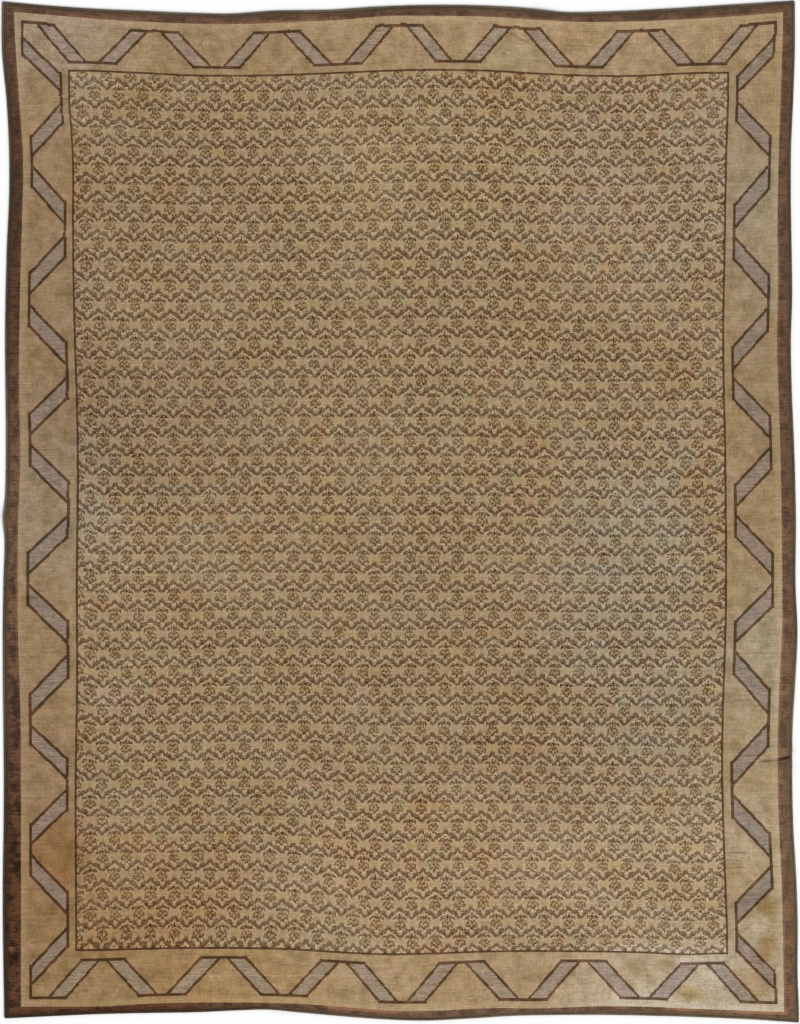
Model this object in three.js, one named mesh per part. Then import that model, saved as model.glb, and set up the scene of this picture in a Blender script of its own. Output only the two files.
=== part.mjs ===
// A hand-knotted Turkish room rug, lying open on the floor.
// Millimetres, +Z up. The origin is on the floor under the middle of the rug,
// +X runs across its width and +Y along its length, towards the end that was woven last.
//
// The rug is one thick web with overcast edges. None of its sides is straight: it was woven by eye
// and has stretched with age, so each side has a short table of how far it draws in, and a few low
// folds lift the web off the floor where the extra cloth at an edge has nowhere to go.

import * as THREE from "three";
import { mergeVertices } from "three/addons/utils/BufferGeometryUtils.js";

// Driving dimensions
const WIDTH = 3500;
const LENGTH = 4485;
const WEB = 8; // thickness of the foundation and its pile together
const EDGE_WIDTH = 10.5; // the overcast edge, seen from above
const EDGE_HEIGHT = 9;
const EDGE_SIDES = 8; // flats round an overcast edge
const GAP = 0.3; // between the web and its edges
const COLUMN_PITCH = 200; // spacing of the mesh where the web lies flat
const ROW_PITCH = 215;

// How far each side draws in from the full rectangle.
// For the left and right sides, along is the place up the rug; for the ends it is the place across.
const LEFT_SIDE = [
  { along: -2225, inset: 11 },
  { along: -1705, inset: 5 },
  { along: -1265, inset: 10 },
  { along: -610, inset: 5 },
  { along: -390, inset: 6 },
  { along: -125, inset: 12 },
  { along: -30, inset: 6 },
  { along: 50, inset: 14 },
  { along: 380, inset: 19 },
  { along: 710, inset: 15 },
  { along: 1150, inset: 23 },
  { along: 1370, inset: 33 },
  { along: 1585, inset: 33 },
  { along: 1805, inset: 22 },
  { along: 2000, inset: 3 },
  { along: 2160, inset: 0 },
  { along: 2235, inset: 1 },
];
const RIGHT_SIDE = [
  { along: -2225, inset: 0 },
  { along: -1925, inset: 8 },
  { along: -1705, inset: 5 },
  { along: -1485, inset: 21 },
  { along: -1050, inset: 30 },
  { along: -830, inset: 23 },
  { along: -610, inset: 6 },
  { along: -390, inset: 13 },
  { along: -215, inset: 17 },
  { along: -80, inset: 13 },
  { along: 270, inset: 21 },
  { along: 710, inset: 36 },
  { along: 930, inset: 30 },
  { along: 1370, inset: 36 },
  { along: 1585, inset: 35 },
  { along: 1980, inset: 19 },
  { along: 2235, inset: 18 },
];
const TOP_END = [
  { along: -1740, inset: 4 },
  { along: -1450, inset: 29 },
  { along: -1100, inset: 46 },
  { along: -705, inset: 56 },
  { along: -570, inset: 45 },
  { along: -310, inset: 40 },
  { along: -50, inset: 24 },
  { along: 250, inset: 19 },
  { along: 555, inset: 31 },
  { along: 715, inset: 49 },
  { along: 1050, inset: 42 },
  { along: 1490, inset: 16 },
  { along: 1740, inset: 0 },
];
const BOTTOM_END = [
  { along: -1740, inset: 18 },
  { along: -1320, inset: 37 },
  { along: -860, inset: 46 },
  { along: -570, inset: 56 },
  { along: -440, inset: 43 },
  { along: -130, inset: 17 },
  { along: 60, inset: 8 },
  { along: 260, inset: 15 },
  { along: 440, inset: 27 },
  { along: 875, inset: 33 },
  { along: 1315, inset: 23 },
  { along: 1490, inset: 16 },
  { along: 1740, inset: 0 },
];

// Low folds, each running in from a side. The heading is the direction of its crest in degrees from +X.
// A fold is highest at x and y, falls to nothing at its reach, and is as wide as twice its half_width.
const FOLDS = [
  { name: "pinch, upper lip", x: 1745, y: -1040, heading: 186, reach: 330, half_width: 34, height: 9 },
  { name: "pinch, lower lip", x: 1745, y: -1112, heading: 184, reach: 300, half_width: 34, height: 7 },
  { name: "left side swell", x: -1745, y: -30, heading: 4, reach: 360, half_width: 85, height: 6 },
  { name: "top end swell", x: 640, y: 2230, heading: 262, reach: 340, half_width: 90, height: 6 },
  { name: "bottom end swell", x: -520, y: -2230, heading: 96, reach: 380, half_width: 95, height: 7 },
];
const FOLD_ROWS = [-1, -0.5, 0, 0.5, 1]; // extra mesh lines across a fold, in half widths

// Photo colours
const PILE = new THREE.MeshStandardMaterial({ color: 0x9c8262, roughness: 0.95, metalness: 0 });
const OVERCAST = new THREE.MeshStandardMaterial({ color: 0x45403a, roughness: 0.95, metalness: 0 });

const HALF_WIDTH = WIDTH / 2;
const HALF_LENGTH = LENGTH / 2;

function sideCurve(table) {
  const along = table.map((row) => row.along);
  const inset = table.map((row) => row.inset);
  const curve = new THREE.CubicInterpolant(along, inset, 1);
  const first = along[0];
  const last = along[along.length - 1];
  return (place) => curve.evaluate(THREE.MathUtils.clamp(place, first, last))[0];
}

const leftInset = sideCurve(LEFT_SIDE);
const rightInset = sideCurve(RIGHT_SIDE);
const topInset = sideCurve(TOP_END);
const bottomInset = sideCurve(BOTTOM_END);

// Moves a point of the full rectangle to where the uneven rug has it. Each side's inset fades to
// nothing at the side across from it.
function drawnIn(across, along) {
  const right = (across + HALF_WIDTH) / WIDTH;
  const up = (along + HALF_LENGTH) / LENGTH;
  const x = across + leftInset(along) * (1 - right) - rightInset(along) * right;
  const y = along + bottomInset(across) * (1 - up) - topInset(across) * up;
  return new THREE.Vector2(x, y);
}

// A smooth hump, 1 in the middle and exactly 0 from one reach away
function hump(distance, reach) {
  const share = Math.min(Math.abs(distance) / reach, 1);
  return (1 - share * share) ** 2;
}

function liftOffFloor(x, y) {
  let lift = 0;
  for (const fold of FOLDS) {
    const turn = THREE.MathUtils.degToRad(fold.heading);
    const inward = (x - fold.x) * Math.cos(turn) + (y - fold.y) * Math.sin(turn);
    const sideways = (y - fold.y) * Math.cos(turn) - (x - fold.x) * Math.sin(turn);
    lift += fold.height * hump(inward, fold.reach) * hump(sideways, fold.half_width);
  }
  return lift;
}

function meshLines(half, pitch, extra) {
  const steps = Math.round((2 * half) / pitch);
  const lines = [];
  for (let step = 0; step <= steps; step += 1) {
    lines.push(-half + (2 * half * step) / steps);
  }
  const nearest = pitch / 8;
  const kept = lines.filter((line) => Math.abs(line) === half || extra.every((place) => Math.abs(place - line) > nearest));
  const inside = extra.filter((place) => Math.abs(place) < half - nearest);
  return [...kept, ...inside].sort((a, b) => a - b);
}

function foldLines(places) {
  const lines = [];
  for (const { place, half_width } of places) {
    for (const row of FOLD_ROWS) {
      lines.push(place + row * half_width);
    }
  }
  return lines;
}

const sideFolds = FOLDS.filter((fold) => Math.abs(fold.x) > Math.abs(fold.y));
const endFolds = FOLDS.filter((fold) => Math.abs(fold.x) <= Math.abs(fold.y));
const webHalfWidth = HALF_WIDTH - EDGE_WIDTH - GAP;
const webHalfLength = HALF_LENGTH - EDGE_WIDTH - GAP;
const rows = meshLines(webHalfLength, ROW_PITCH, foldLines(sideFolds.map((f) => ({ place: f.y, half_width: f.half_width }))));
const columns = meshLines(webHalfWidth, COLUMN_PITCH, foldLines(endFolds.map((f) => ({ place: f.x, half_width: f.half_width }))));

// Moves every corner of a closed geometry with one function and merges the corners that meet
function bent(geometry, move) {
  geometry.deleteAttribute("normal");
  geometry.deleteAttribute("uv");
  const merged = mergeVertices(geometry);
  const position = merged.getAttribute("position");
  const corner = new THREE.Vector3();
  for (let index = 0; index < position.count; index += 1) {
    corner.fromBufferAttribute(position, index);
    move(corner);
    position.setXYZ(index, corner.x, corner.y, corner.z);
  }
  merged.computeVertexNormals();
  return merged;
}

function station(lines, place) {
  return lines[Math.round(place + (lines.length - 1) / 2)];
}

// The knotted web: a flat box with a step for each mesh line, bent onto the outline and the folds
function webGeometry() {
  const across = columns.length - 1;
  const along = rows.length - 1;
  const flat = new THREE.BoxGeometry(across, along, 1, across, along, 1);
  return bent(flat, (corner) => {
    const place = drawnIn(station(columns, corner.x), station(rows, corner.y));
    const underside = liftOffFloor(place.x, place.y);
    corner.set(place.x, place.y, underside + (corner.z > 0 ? WEB : 0));
  });
}

// An overcast edge: a tube with flats, its path following the mesh lines of the web's side.
// placeAt turns a place along the edge and a distance out from its middle into a point of the rug.
function edgeGeometry(lines, placeAt) {
  const flatTurn = Math.PI / EDGE_SIDES;
  const radius = 0.5 / Math.cos(flatTurn);
  const steps = lines.length - 1;
  const tube = new THREE.CylinderGeometry(radius, radius, steps, EDGE_SIDES, steps, false, flatTurn);
  return bent(tube, (corner) => {
    const place = placeAt(station(lines, corner.y), corner.x * EDGE_WIDTH);
    corner.set(place.x, place.y, liftOffFloor(place.x, place.y) + (corner.z + 0.5) * EDGE_HEIGHT);
  });
}

const edgeMiddleX = HALF_WIDTH - EDGE_WIDTH / 2;
const edgeMiddleY = HALF_LENGTH - EDGE_WIDTH / 2;
const fullRows = [-HALF_LENGTH, ...rows, HALF_LENGTH]; // the side edges run past the end edges to the corners

const pieces = {
  rug_body: { geometry: webGeometry(), material: PILE },
  side_edge_left: {
    geometry: edgeGeometry(fullRows, (along, out) => drawnIn(-edgeMiddleX + out, along)),
    material: OVERCAST,
  },
  side_edge_right: {
    geometry: edgeGeometry(fullRows, (along, out) => drawnIn(edgeMiddleX + out, along)),
    material: OVERCAST,
  },
  end_edge_top: {
    geometry: edgeGeometry(columns, (along, out) => drawnIn(along, edgeMiddleY - out)),
    material: OVERCAST,
  },
  end_edge_bottom: {
    geometry: edgeGeometry(columns, (along, out) => drawnIn(along, -edgeMiddleY - out)),
    material: OVERCAST,
  },
};

const rug = new THREE.Group();
for (const [name, { geometry, material }] of Object.entries(pieces)) {
  const mesh = new THREE.Mesh(geometry, material);
  mesh.name = name;
  rug.add(mesh);
}

export default rug;
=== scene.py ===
# %% [markdown]
# A hand-knotted Turkish room rug, lying open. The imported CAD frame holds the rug's real size, its uneven
# outline and its low folds. This script puts the wool on it: a knotted body with its drawn design, and
# four edges that are wrapped with yarn. Everything is in metres, with +Z up out of the pile.

# %% Load the frame
import math
from collections import namedtuple

import bpy
import numpy as np
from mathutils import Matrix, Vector, noise


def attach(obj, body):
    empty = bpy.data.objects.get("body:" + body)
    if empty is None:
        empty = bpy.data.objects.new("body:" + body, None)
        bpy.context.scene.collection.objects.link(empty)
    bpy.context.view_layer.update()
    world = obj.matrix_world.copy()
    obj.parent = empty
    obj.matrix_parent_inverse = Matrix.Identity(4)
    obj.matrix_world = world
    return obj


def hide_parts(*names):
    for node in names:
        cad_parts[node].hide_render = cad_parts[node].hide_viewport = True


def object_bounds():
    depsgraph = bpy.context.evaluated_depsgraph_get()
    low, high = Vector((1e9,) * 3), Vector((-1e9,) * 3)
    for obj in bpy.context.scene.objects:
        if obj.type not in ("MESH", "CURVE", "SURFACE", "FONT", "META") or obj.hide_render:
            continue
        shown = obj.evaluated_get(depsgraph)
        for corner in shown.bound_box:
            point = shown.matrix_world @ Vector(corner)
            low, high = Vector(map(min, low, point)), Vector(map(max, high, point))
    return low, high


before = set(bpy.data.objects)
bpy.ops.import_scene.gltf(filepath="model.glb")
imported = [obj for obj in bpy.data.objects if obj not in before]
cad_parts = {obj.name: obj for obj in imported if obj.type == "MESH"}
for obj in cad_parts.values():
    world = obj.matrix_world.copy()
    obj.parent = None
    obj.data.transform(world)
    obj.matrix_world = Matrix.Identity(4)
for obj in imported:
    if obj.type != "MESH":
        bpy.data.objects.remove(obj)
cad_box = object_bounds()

cad_low, cad_high = np.array(cad_box[0]), np.array(cad_box[1])
print("CAD box in metres:", (cad_high - cad_low).round(3))

# %% [markdown]
# A camera that looks straight down. The rug was seen square on from far away, so its sides hardly run
# together. A long lens high above the floor does the same. The picture is 1024 pixels high, and one of
# its pixels covers 4.39 mm of rug, which is about one knot, so the lens follows from the height.

# %% Camera
PIXEL = 0.00439                # metres of rug under one pixel of the picture
PICTURE_HEIGHT = 1024          # pixels
CAMERA_HEIGHT = 16.0
SENSOR = 0.024
AIM = (-0.0018, -0.0018)       # the middle of the picture, beside the middle of the rug

camera_data = bpy.data.cameras.new("camera")
camera_data.sensor_fit = "VERTICAL"
camera_data.sensor_height = SENSOR * 1000
camera_data.lens = 1000 * SENSOR * CAMERA_HEIGHT / (PICTURE_HEIGHT * PIXEL)
camera = bpy.data.objects.new("camera", camera_data)
camera.location = (AIM[0], AIM[1], CAMERA_HEIGHT)
bpy.context.scene.collection.objects.link(camera)
bpy.context.scene.camera = camera
print("lens:", round(camera_data.lens, 1), "mm")

# %% [markdown]
# Soft light for cloth. The world gives an even light from all round, which a wool pile needs so that
# its colours read true. One wide, soft sun from the upper left adds just enough direction for the folds
# and the pile to show. Together they light a level surface with a strength of one, so a colour comes
# out of the render as it was mixed. The Standard view keeps it that way.

# %% Light and floor
AMBIENT = 0.62
SUN_SHARE = 0.40
SUN_TURN = (math.radians(48), 0, math.radians(38))

scene = bpy.context.scene
scene.view_settings.view_transform = "Standard"
world = bpy.data.worlds.new("studio")
world.use_nodes = True
world.node_tree.nodes["Background"].inputs["Color"].default_value = (1, 1, 1, 1)
world.node_tree.nodes["Background"].inputs["Strength"].default_value = AMBIENT
scene.world = world

sun_data = bpy.data.lights.new("soft_sun", "SUN")
sun_data.energy = SUN_SHARE * math.pi / math.cos(SUN_TURN[0])
sun_data.angle = math.radians(35)
sun = bpy.data.objects.new("soft_sun", sun_data)
sun.rotation_euler = SUN_TURN
scene.collection.objects.link(sun)

FLOOR_HALF = 30.0
FLOOR_DROP = 0.0004            # the rug's back lies just above the floor, so the two never flicker
floor_mesh = bpy.data.meshes.new("floor")
floor_signs = [(-1, -1), (1, -1), (1, 1), (-1, 1)]
floor_corners = [(FLOOR_HALF * x, FLOOR_HALF * y, -FLOOR_DROP) for x, y in floor_signs]
floor_mesh.from_pydata(floor_corners, [], [(0, 1, 2, 3)])
floor = bpy.data.objects.new("floor", floor_mesh)
scene.collection.objects.link(floor)
floor_paint = bpy.data.materials.new("pale_floor")
floor_paint.use_nodes = True
floor_shader = floor_paint.node_tree.nodes["Principled BSDF"]
floor_shader.inputs["Base Color"].default_value = (0.98, 0.98, 0.98, 1)
floor_shader.inputs["Roughness"].default_value = 0.9
floor_mesh.materials.append(floor_paint)

# %% [markdown]
# The weaver's plan. A knotted rug is drawn on squared paper, one square for each knot, so the whole
# design is planned here in knots, counted from the upper left corner. The cloth is then stretched onto
# its real, uneven shape. Keeping the two apart means that a border stays a border however the cloth
# wanders, and no line of the design has to be bent by hand.

# %% The plan in knots
KNOTS_ACROSS = 788
KNOTS_ALONG = 998
SIDE_WRAP, END_WRAP = 2.4, 2.4          # hidden under the wrapped edges
SIDE_GUARD, END_GUARD = 14, 10          # the plain brown band inside the edges
SIDE_FRAME, TOP_FRAME, BOTTOM_FRAME = 70, 64, 66    # the thin line round the field
LEFT_RIBBON = 23.7                      # the outer line of the left ribbon
PLAN_COLUMNS = np.array([
    SIDE_WRAP, SIDE_GUARD, LEFT_RIBBON, SIDE_FRAME,
    KNOTS_ACROSS - SIDE_FRAME, KNOTS_ACROSS - SIDE_GUARD, KNOTS_ACROSS - SIDE_WRAP,
])
PLAN_ROWS = np.array([
    END_WRAP, END_GUARD, TOP_FRAME,
    KNOTS_ALONG - BOTTOM_FRAME, KNOTS_ALONG - END_GUARD, KNOTS_ALONG - END_WRAP,
])
cad_width, cad_length = (cad_high - cad_low)[:2]
knot_size = 1000 * np.array([cad_width / KNOTS_ACROSS, cad_length / KNOTS_ALONG])
print("one knot in mm:", knot_size.round(2))

# %% [markdown]
# The outline comes from the frame. Each wrapped edge in the CAD model is a tube with a ring of corners
# every so often, so the mean of each ring is a point of the edge's middle line. A smooth curve through
# those points gives the edge everywhere. The slopes are taken from the neighbours on either side, as
# a thin wooden strip would bend through the same marks.

# %% Middle lines of the wrapped edges
EDGE_WIDTH = 0.0105            # across the wrapped edge, as in the CAD model
EDGE_HEIGHT = 0.009
GAP = 0.0003                   # between the body and the edges
RING_GAP = 0.002               # corners that are nearer than this along the edge are one ring


def smooth_line(points):
    """A function through points of (place, value), sorted by place, that bends softly at each."""
    places, values = np.array(sorted(points), float).T
    slopes = np.gradient(values, places)

    def at(place):
        place = np.clip(place, places[0], places[-1])
        first = np.clip(np.searchsorted(places, place) - 1, 0, len(places) - 2)
        step = places[first + 1] - places[first]
        t = (place - places[first]) / step
        rise = values[first + 1] - values[first]
        left = slopes[first] * step - rise
        right = rise - slopes[first + 1] * step
        return values[first] + t * rise + t * (1 - t) * ((1 - t) * left + t * right)

    return at


def edge_middle(node, along):
    """Points of a CAD edge's middle line: place along it and across it. along is 0 for X and 1 for Y."""
    corners = np.array([corner.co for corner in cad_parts[node].data.vertices])
    corners = corners[np.argsort(corners[:, along])]
    breaks = np.flatnonzero(np.diff(corners[:, along]) > RING_GAP) + 1
    rings = np.split(corners, breaks)
    return [(ring[:, along].mean(), ring[:, 1 - along].mean()) for ring in rings]


EDGE_NODES = {
    "left": ("side_edge_left", 1),
    "right": ("side_edge_right", 1),
    "top": ("end_edge_top", 0),
    "bottom": ("end_edge_bottom", 0),
}
edge_points = {side: edge_middle(node, along) for side, (node, along) in EDGE_NODES.items()}
edge_line = {side: smooth_line(points) for side, points in edge_points.items()}
print("rings read from the CAD edges:", {side: len(points) for side, points in edge_points.items()})

# %% [markdown]
# The lines inside the rug wander too, and not in step with the outline. A few places along each one are
# enough. Each pair is a place along the line and where the line lies there, both in metres. The left
# ribbon's outer line follows the guard and the frame line, but its first fold slipped outwards.

# %% The guard's inner edge and the thin frame line
GUARD_LEFT = [
    (2.18, -1.697), (2.04, -1.687), (1.81, -1.673), (1.54, -1.655), (1.28, -1.660), (1.02, -1.668),
    (0.49, -1.673), (0.23, -1.668), (-0.04, -1.677), (-0.56, -1.677), (-0.83, -1.668), (-1.35, -1.664),
    (-2.10, -1.664),
]
GUARD_RIGHT = [
    (2.11, 1.679), (1.81, 1.668), (1.54, 1.660), (1.28, 1.655), (1.02, 1.658), (0.75, 1.652),
    (0.49, 1.660), (0.23, 1.668), (-0.04, 1.673), (-0.56, 1.673), (-0.83, 1.660), (-1.09, 1.655),
    (-1.35, 1.660), (-1.62, 1.673), (-2.10, 1.682),
]
GUARD_TOP = [
    (-1.68, 2.192), (-1.49, 2.175), (-1.32, 2.161), (-1.10, 2.148), (-0.70, 2.139), (-0.48, 2.148),
    (-0.27, 2.157), (-0.05, 2.175), (0.17, 2.175), (0.39, 2.171), (0.61, 2.157), (0.83, 2.148),
    (1.05, 2.152), (1.27, 2.161), (1.49, 2.175), (1.62, 2.186), (1.69, 2.194),
]
GUARD_BOTTOM = [
    (-1.49, -2.172), (-1.32, -2.172), (-1.10, -2.159), (-0.70, -2.155), (-0.48, -2.159),
    (-0.27, -2.172), (-0.05, -2.190), (0.17, -2.190), (0.39, -2.179), (0.61, -2.181), (0.83, -2.172),
    (1.05, -2.172), (1.27, -2.181), (1.62, -2.194),
]
FRAME_LEFT = [
    (1.81, -1.450), (1.54, -1.433), (1.28, -1.433), (0.75, -1.424), (0.49, -1.415), (0.23, -1.411),
    (-0.30, -1.415), (-0.83, -1.415), (-1.09, -1.420), (-1.84, -1.418),
]
FRAME_RIGHT = [
    (1.81, 1.434), (1.54, 1.425), (1.28, 1.421), (0.75, 1.412), (0.23, 1.421), (-0.56, 1.421),
    (-0.83, 1.412), (-1.09, 1.407), (-1.35, 1.412), (-1.62, 1.421), (-1.84, 1.429),
]
FRAME_TOP = [
    (-1.36, 1.930), (-1.14, 1.921), (-0.92, 1.910), (-0.70, 1.908), (-0.27, 1.921), (-0.05, 1.930),
    (0.17, 1.934), (0.39, 1.930), (0.61, 1.917), (1.05, 1.908), (1.27, 1.919), (1.38, 1.921),
]
FRAME_BOTTOM = [
    (-1.36, -1.920), (-0.92, -1.911), (-0.70, -1.911), (-0.48, -1.916), (-0.27, -1.929),
    (-0.05, -1.938), (0.17, -1.933), (0.39, -1.925), (0.83, -1.925), (1.05, -1.929), (1.27, -1.938),
    (1.38, -1.934),
]
SLIPPED_PLACE, SLIPPED_REACH, SLIPPED_OUT = 2.02, 0.20, 0.015     # the left ribbon's first fold, in metres
body_inset = EDGE_WIDTH / 2 + GAP
guard_left, frame_left = smooth_line(GUARD_LEFT), smooth_line(FRAME_LEFT)


def hump(distance, reach):
    """1 in the middle, falling softly to 0 at the reach."""
    share = np.minimum(np.abs(distance) / reach, 1)
    return (1 - share**2) ** 2


def ribbon_left(y):
    """Where the left ribbon's outer line lies, between the guard and the frame line."""
    share = (LEFT_RIBBON - SIDE_GUARD) / (SIDE_FRAME - SIDE_GUARD)
    even = guard_left(y) * (1 - share) + frame_left(y) * share
    return even - SLIPPED_OUT * hump(y - SLIPPED_PLACE, SLIPPED_REACH)


column_lines = [
    lambda y: edge_line["left"](y) + body_inset,
    guard_left, ribbon_left, frame_left, smooth_line(FRAME_RIGHT), smooth_line(GUARD_RIGHT),
    lambda y: edge_line["right"](y) - body_inset,
]
row_lines = [
    lambda x: edge_line["top"](x) - body_inset,
    smooth_line(GUARD_TOP), smooth_line(FRAME_TOP), smooth_line(FRAME_BOTTOM), smooth_line(GUARD_BOTTOM),
    lambda x: edge_line["bottom"](x) + body_inset,
]

# %% [markdown]
# From the plan to the floor. A knot's place is found by sliding between the two nearest lines on either
# side of it, across and along. Where both kinds of line wander, the knots follow both, as they do in
# cloth that was woven by eye and has been walked on since. Inside the field there is no line to follow,
# but the rows of flowers aren't evenly spaced either: the weft was beaten down harder on some days than
# on others. These sways are how far, in millimetres, the rows lie up from an even spacing at three
# places across the field, and how far the columns lie to the right at three places along it.

# %% Stretching the plan onto the rug
ROWS_LEFT = [
    (1.76, -4), (1.50, 4), (1.24, 8), (0.97, -4), (0.45, -9), (-0.34, -22), (-0.87, -16), (-1.13, -8),
    (-1.40, 9), (-1.66, 19),
]
ROWS_MIDDLE = [
    (1.76, 2), (1.50, 11), (1.24, 11), (0.71, 6), (0.18, -6), (-0.34, -11), (-0.61, -1), (-1.13, -2),
    (-1.66, -5),
]
ROWS_RIGHT = [
    (1.76, 0), (1.50, 17), (1.24, 15), (0.71, -1), (0.18, -12), (-0.34, -12), (-0.61, 1), (-0.87, 0),
    (-1.13, -14), (-1.66, -10),
]
ROW_BOW = [(-1.30, 0), (-0.65, 5), (0.05, -1), (0.60, -6), (1.10, 0)]
COLUMNS_TOP = [
    (-1.27, 2), (-0.75, -2), (-0.22, -6), (0.04, -4), (0.31, -5), (0.57, 3), (0.83, 2), (1.10, -5),
]
COLUMNS_MIDDLE = [
    (-1.27, 6), (-0.75, -2), (-0.48, 0), (0.04, -16), (0.31, -16), (0.57, -9), (0.83, -3), (1.10, -14),
]
COLUMNS_BOTTOM = [
    (-1.27, 10), (-0.75, 7), (-0.48, 8), (-0.22, 1), (0.31, -6), (0.57, 0), (1.10, -5),
]
ROW_PLACES = np.array([-1.2, 0.0, 1.2])     # where across the field the row tables stand
COLUMN_PLACES = np.array([-1.4, -0.35, 1.0])
SWAY_START = 14                             # knots inside the frame line to the full sway
STRETCH_TURNS = 3                           # each turn reads the lines nearer to where a knot really lies
row_sways = [smooth_line(table) for table in (ROWS_LEFT, ROWS_MIDDLE, ROWS_RIGHT)]
column_sways = [smooth_line(table) for table in (COLUMNS_BOTTOM, COLUMNS_MIDDLE, COLUMNS_TOP)]
row_bow = smooth_line(ROW_BOW)


def between_lines(place, plan, lines, along):
    """Where a plan place lies, between the wandering lines that stand at the plan's own places."""
    stands = np.stack([line(along) for line in lines])
    first = np.clip(np.searchsorted(plan, place, side="right") - 1, 0, len(plan) - 2)
    t = (place - plan[first]) / (plan[first + 1] - plan[first])
    picked = np.arange(len(place))
    return stands[first, picked] * (1 - t) + stands[first + 1, picked] * t


def blended(lines, places, along, across):
    """The value of three lines at a place along them, blended by where across them it is."""
    values = np.stack([line(along) for line in lines])
    first = np.clip(np.searchsorted(places, across) - 1, 0, 1)
    t = np.clip((across - places[first]) / np.diff(places)[first], 0, 1)
    picked = np.arange(len(along))
    return values[first, picked] * (1 - t) + values[first + 1, picked] * t


def stretched(columns, rows):
    """Real x and y of places in the plan, given as flat arrays of knots."""
    x = rough_x = (columns / KNOTS_ACROSS - 0.5) * cad_width
    y = rough_y = (0.5 - rows / KNOTS_ALONG) * cad_length
    for turn in range(STRETCH_TURNS):
        new_x = between_lines(columns, PLAN_COLUMNS, column_lines, y)
        x, y = new_x, between_lines(rows, PLAN_ROWS, row_lines, x)
    inside = np.minimum.reduce([
        columns - SIDE_FRAME, KNOTS_ACROSS - SIDE_FRAME - columns,
        rows - TOP_FRAME, KNOTS_ALONG - BOTTOM_FRAME - rows,
    ])
    share = np.clip(inside / SWAY_START, 0, 1)
    right = blended(column_sways, COLUMN_PLACES, rough_x, rough_y) / 1000
    up = (blended(row_sways, ROW_PLACES, rough_y, rough_x) + row_bow(rough_x)) / 1000
    return x + share * right, y + share * up


# %% [markdown]
# The low folds are where the CAD model has them: two lips of a pinch at the right side, and three soft
# swells. The surface gets more than the solid: a crease line between the lips, a slack crease near the
# top, and a pile that is nowhere quite level, because it is walked down in some places and not in others.

# %% Folds, creases and unevenness
WEB = 0.008                    # foundation and pile together
# A fold has its full height at x and y. Its heading is the way that its crest runs, in degrees from +X.
Fold = namedtuple("Fold", "name x y heading reach half_width height")
FOLDS = [
    Fold("pinch, upper lip", 1.745, -1.040, 186, 0.330, 0.034, 0.009),
    Fold("pinch, lower lip", 1.745, -1.112, 184, 0.300, 0.034, 0.007),
    Fold("left side swell", -1.745, -0.030, 4, 0.360, 0.085, 0.006),
    Fold("top end swell", 0.640, 2.230, 262, 0.340, 0.090, 0.006),
    Fold("bottom end swell", -0.520, -2.230, 96, 0.380, 0.095, 0.007),
]
CREASES = [                    # narrow soft troughs in the pile only
    Fold("pinch line", 1.735, -1.080, 184, 0.130, 0.010, -0.0022),
    Fold("slack crease", 0.520, 2.075, -26, 0.075, 0.012, -0.0014),
    Fold("left border crease", -1.560, 0.010, 2, 0.160, 0.016, -0.0010),
    Fold("bottom border crease", -1.330, -2.040, 6, 0.200, 0.014, -0.0010),
]
SWELL, SWELLS = 0.0007, 5      # how uneven the pile is over a hand's width, and swells in a metre
RIPPLE, RIPPLES = 0.00025, 26  # and over a finger's width


def relief(x, y, forms):
    """The summed height of folds or creases at x and y."""
    total = np.zeros_like(x)
    for form in forms:
        turn = math.radians(form.heading)
        inward = (x - form.x) * math.cos(turn) + (y - form.y) * math.sin(turn)
        sideways = (y - form.y) * math.cos(turn) - (x - form.x) * math.sin(turn)
        total += form.height * hump(inward, form.reach) * hump(sideways, form.half_width)
    return total


def uneven(x, y):
    """How far the pile stands above or below its usual height."""
    broad = [noise.noise(Vector((SWELLS * a, SWELLS * b, 0))) for a, b in zip(x, y)]
    fine = [noise.noise(Vector((RIPPLES * a, RIPPLES * b, 7))) for a, b in zip(x, y)]
    return SWELL * np.array(broad) + RIPPLE * np.array(fine)


# %% [markdown]
# The knotted body is one closed sheet of mesh. Its pile side has a line every three knots, fine enough
# for the folds to bend smoothly. The back lies flat on the floor or follows a fold, so every fourth line
# does there, and a narrow wall joins the two. The pile is clipped a little lower at its rim. Two maps
# go with the mesh: one says which knot of the plan each corner is, for the design, and one lays the
# surface out in a square, for a baked picture of the finish.

# %% The body's mesh
KNOTS_PER_LINE = 3
BACK_STEP = 4                  # the back uses every fourth line
RIM_LINES = [0, 0.12, 0.4, 0.9]    # extra lines near the rim, in knots from it
RIM_DROP = 0.0024
RIM_REACH = 0.9                # knots
BAKE_SPLIT = 0.2               # share of the baked square that the back has
BAKE_MARGIN = 0.01


def plan_lines(first, last):
    """Plan places of the mesh lines from first to last, close together at both rims."""
    steps = round((last - first) / KNOTS_PER_LINE / BACK_STEP) * BACK_STEP - 2 * (len(RIM_LINES) - 1)
    start, end = first + RIM_LINES[-1], last - RIM_LINES[-1]
    middle = np.linspace(start, end, steps + 1)
    rim = np.array(RIM_LINES[:-1])
    return np.concatenate([first + rim, middle, last - rim[::-1]])


lines_across = plan_lines(PLAN_COLUMNS[0], PLAN_COLUMNS[-1])
lines_along = plan_lines(PLAN_ROWS[0], PLAN_ROWS[-1])
count_across, count_along = len(lines_across), len(lines_along)

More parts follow.
